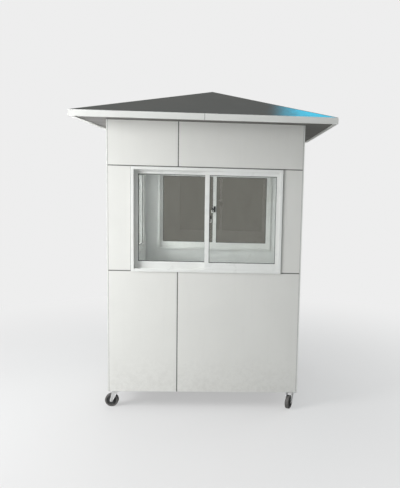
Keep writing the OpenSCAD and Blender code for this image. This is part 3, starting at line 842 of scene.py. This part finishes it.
def leg_edge(axle, top_z, inset):
    """The U-shaped edge of a fork leg: down its front, round the axle and up its back."""
    front, back = Vector((-CROWN_HALF + inset, top_z)), Vector((CROWN_HALF - inset, top_z))
    radius = FORK_END - inset
    start, end = tangent(front, axle, radius, 1), tangent(back, axle, radius, -1)
    first = math.atan2(*(start - axle).yx)
    last = math.atan2(*(end - axle).yx)
    while last < first:
        last += 2 * math.pi
    steps = 14
    arc = [axle + radius * Vector((math.cos(a), math.sin(a)))
           for a in (first + (last - first) * i / steps for i in range(steps + 1))]
    return [tuple(front)] + [tuple(p) for p in arc] + [tuple(back)]


def hex_head(mesh, radius, height, place):
    """A hexagonal head with a chamfered top, along +Z."""
    lathe(mesh, [(0, 0), (radius, 0), (radius, 0.8 * height), (0.88 * radius, height), (0, height)], 6, place)


def add_caster(corner, finish):
    """One caster's leg flanges and axle nuts, wheel ribs, and the bolts that hold its plate."""
    place, axle = caster_place(corner)
    crown_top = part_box(corner + "_fork")[1].z
    fork = bmesh.new()
    outer = leg_edge(axle, crown_top - CROWN_CLEAR, 0.0)
    inner = leg_edge(axle, crown_top - CROWN_CLEAR, FLANGE_W)
    strip(fork, outer, inner, -LEG_FACE - FLANGE_T, -LEG_FACE, False, place)
    strip(fork, outer, inner, LEG_FACE, LEG_FACE + FLANGE_T, False, place)
    for side in (-1, 1):
        nut = (place @ Matrix.Translation((axle.x, side * (LEG_FACE + NUT_OUT), axle.y))
               @ Matrix.Rotation(-side * math.pi / 2, 4, "X"))
        hex_head(fork, NUT_R, NUT_H, nut)
    add_piece(corner + "_fork_flanges", fork, finish["caster_steel"], corner + "_caster",
              ease=CASTER_EASE)

    ribs = bmesh.new()
    at_axle = place @ Matrix.Translation((axle.x, 0, axle.y))
    for i in range(RIB_COUNT):
        spoke = at_axle @ Matrix.Rotation(2 * math.pi * i / RIB_COUNT, 4, "Y")
        for near, far in ((-WEB_HALF - RIB_DEPTH, -WEB_HALF + SINK), (WEB_HALF - SINK, WEB_HALF + RIB_DEPTH)):
            block(ribs, (HUB_R - SINK, near, -RIB_HALF), (RIM_R + SINK, far, RIB_HALF), spoke)
    add_piece(corner + "_wheel_ribs", ribs, finish[corner + "_wheel"], corner + "_roller",
              ease=CASTER_EASE)

    bolts = bmesh.new()
    plate_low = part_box("caster_plates")[1].z - PLATE_T
    pin = Matrix.Translation((place.translation.x, place.translation.y, plate_low))
    for sx in (-1, 1):
        for sy in (-1, 1):
            down = (pin @ Matrix.Translation((sx * BOLT_ASIDE, sy * BOLT_ASIDE, 0))
                    @ Matrix.Rotation(math.pi, 4, "X"))
            lathe(bolts, [(0, 0), (WASHER_R, 0), (WASHER_R, WASHER_T), (0, WASHER_T)], 20, down)
            hex_head(bolts, BOLT_R, BOLT_H, down @ Matrix.Translation((0, 0, WASHER_T)))
    add_piece(corner + "_plate_bolts", bolts, finish["caster_steel"])


# ---- Studio ----

PALE = (0.854, 0.854, 0.854)
FLOOR_R = 60.0
FLOOR_COLOUR = (0.56, 0.56, 0.56, 1.0)
# The floor turns into the backdrop over the first distances for the camera, and over the second for the rest
FLOOR_SEEN_FADE, FLOOR_UNSEEN_FADE = (1.0, 4.0), (4.0, 9.0)
FLOOR_SEEN_SHARE = 0.55
# Each lamp's name, place, target, size in metres and power in watts
LAMPS = (("key", (-3.3, -2.2, 2.1), (-0.6, -0.75, 1.4), 1.8, 158),
         ("top", (-0.5, -1.0, 6.0), (0, 0, 0), 5.0, 75),
         ("fill", (4.5, 2.5, 3.2), (0.5, 0.2, 1.0), 2.5, 60),
         ("back", (-2.0, 5.5, 2.6), (0.0, 0.5, 1.2), 2.5, 90),
         ("room", (0.0, 0.0, 2.15), (0, 0, 0.2), 0.7, 3))
# What glass, gloss and walls see of the studio: its dim end behind the cabin, its bright end in front
BACK_TONE = (0.165, 0.155, 0.135)
FRONT_TONE = (0.27, 0.28, 0.28)
TOP_TONE = (0.75, 0.77, 0.78)
DIM_SIDE = (0.62, 0.60, 0.57)
# A patch of sky behind the right eaves that the glossy roof mirrors
PATCH_WAY = Vector((0.2156, 0.8646, 0.4540))
PATCH_EDGE = (0.985, 0.994)
PATCH_TONE = (0.22, 1.65, 2.35)


def split_by_camera(t, seen, unseen, output):
    """The camera sees one shader, and every other ray the other."""
    mix = t.node("ShaderNodeMixShader")
    t.feed(mix.inputs[0], t.node("ShaderNodeLightPath").outputs["Is Camera Ray"])
    t.feed(mix.inputs[1], unseen)
    t.feed(mix.inputs[2], seen)
    t.feed(next(n for n in t.tree.nodes if n.type == output).inputs["Surface"], mix.outputs[0])


def add_world():
    """A pale backdrop for the camera, and a softly graded studio for light and reflections."""
    world = bpy.data.worlds.new("studio")
    bpy.context.scene.world = world
    t = Tree(world)
    backdrop = next(n for n in t.tree.nodes if n.type == "BACKGROUND")
    backdrop.inputs["Color"].default_value = (*PALE, 1.0)
    sky = t.node("ShaderNodeBackground")
    way = t.node("ShaderNodeTexCoord").outputs["Generated"]
    shade = t.blend(t.remap(t.axis("Y", way), -0.6, 0.8), FRONT_TONE, BACK_TONE)
    height = t.axis("Z", way)
    above = t.remap(height, 0.02, 0.35)
    bands = t.remap(t.noise(3.5, 3.0, 0.6, vector=way), 0.3, 0.7, 0.0, 0.45)
    shade = t.blend(t.math("MULTIPLY", bands, above), shade, (0.5, 0.5, 0.5), "MULTIPLY")
    aside = t.remap(t.axis("X", way), -0.5, 0.8)
    shade = t.blend(t.math("MULTIPLY", aside, above), shade, DIM_SIDE, "MULTIPLY")
    shade = t.blend(t.remap(height, 0.25, 1.0), shade, TOP_TONE)
    toward = t.node("ShaderNodeVectorMath", operation="DOT_PRODUCT")
    t.feed(toward.inputs[0], way)
    toward.inputs[1].default_value = PATCH_WAY.normalized()
    shade = t.blend(t.remap(toward.outputs["Value"], *PATCH_EDGE), shade, PATCH_TONE)
    t.feed(sky.inputs["Color"], shade)
    split_by_camera(t, backdrop.outputs[0], sky.outputs[0], "OUTPUT_WORLD")


def glow(t, colour):
    """An emission shader in a plain colour or one from a socket."""
    made = t.node("ShaderNodeEmission")
    if isinstance(colour, bpy.types.NodeSocket):
        t.feed(made.inputs["Color"], colour)
    else:
        made.inputs["Color"].default_value = (*colour, 1.0)
    return made.outputs[0]


def add_floor():
    """A plain pale floor that runs out into the backdrop."""
    mesh = bmesh.new()
    bmesh.ops.create_circle(mesh, cap_ends=True, segments=96, radius=FLOOR_R)
    data = bpy.data.meshes.new("floor")
    mesh.to_mesh(data)
    mesh.free()
    floor = bpy.data.objects.new("floor", data)
    bpy.context.scene.collection.objects.link(floor)
    made, t, shader = new_finish("floor_paint", roughness=0.8, Specular_IOR_Level=0.2)
    shader.inputs["Base Color"].default_value = FLOOR_COLOUR
    far = t.node("ShaderNodeVectorMath", operation="LENGTH")
    t.feed(far.inputs[0], t.coords())
    seen = t.node("ShaderNodeMixShader")
    t.feed(seen.inputs[0], t.remap(far.outputs["Value"], *FLOOR_SEEN_FADE, FLOOR_SEEN_SHARE, 1.0))
    t.feed(seen.inputs[1], shader.outputs[0])
    t.feed(seen.inputs[2], glow(t, PALE))
    haze = t.blend(t.remap(t.axis("Y"), -8.0, 8.0), FRONT_TONE, BACK_TONE)
    unseen = t.node("ShaderNodeMixShader")
    t.feed(unseen.inputs[0], t.remap(far.outputs["Value"], *FLOOR_UNSEEN_FADE))
    t.feed(unseen.inputs[1], shader.outputs[0])
    t.feed(unseen.inputs[2], glow(t, haze))
    split_by_camera(t, seen.outputs[0], unseen.outputs[0], "OUTPUT_MATERIAL")
    data.materials.append(made)


def add_softbox(name, place, target, size, watts):
    """A square lamp. It isn't seen by the camera or through glass, but glossy faces mirror it."""
    data = bpy.data.lights.new(name, "AREA")
    data.shape = "SQUARE"
    data.size = size
    data.energy = watts
    light = bpy.data.objects.new(name, data)
    way = Vector(target) - Vector(place)
    light.matrix_world = Matrix.Translation(place) @ way.to_track_quat("-Z", "Y").to_matrix().to_4x4()
    light.visible_camera = False
    light.visible_transmission = False
    bpy.context.scene.collection.objects.link(light)


# ---- The whole scene ----

bpy.context.scene.view_settings.view_transform = "Standard"
add_camera()
add_world()
add_floor()
for lamp in LAMPS:
    add_softbox(*lamp)

finishes = make_finishes()
dress_nodes(finishes)
ease_edges()
for wall in WALL_TURN:
    wall_seal(wall, finishes)
for wall in ("front", "back", "left"):
    add_window(wall, finishes)
add_door(finishes)
add_hip_seams(finishes)
add_fascia_seals(finishes)
for caster in CORNERS:
    add_caster(caster, finishes)
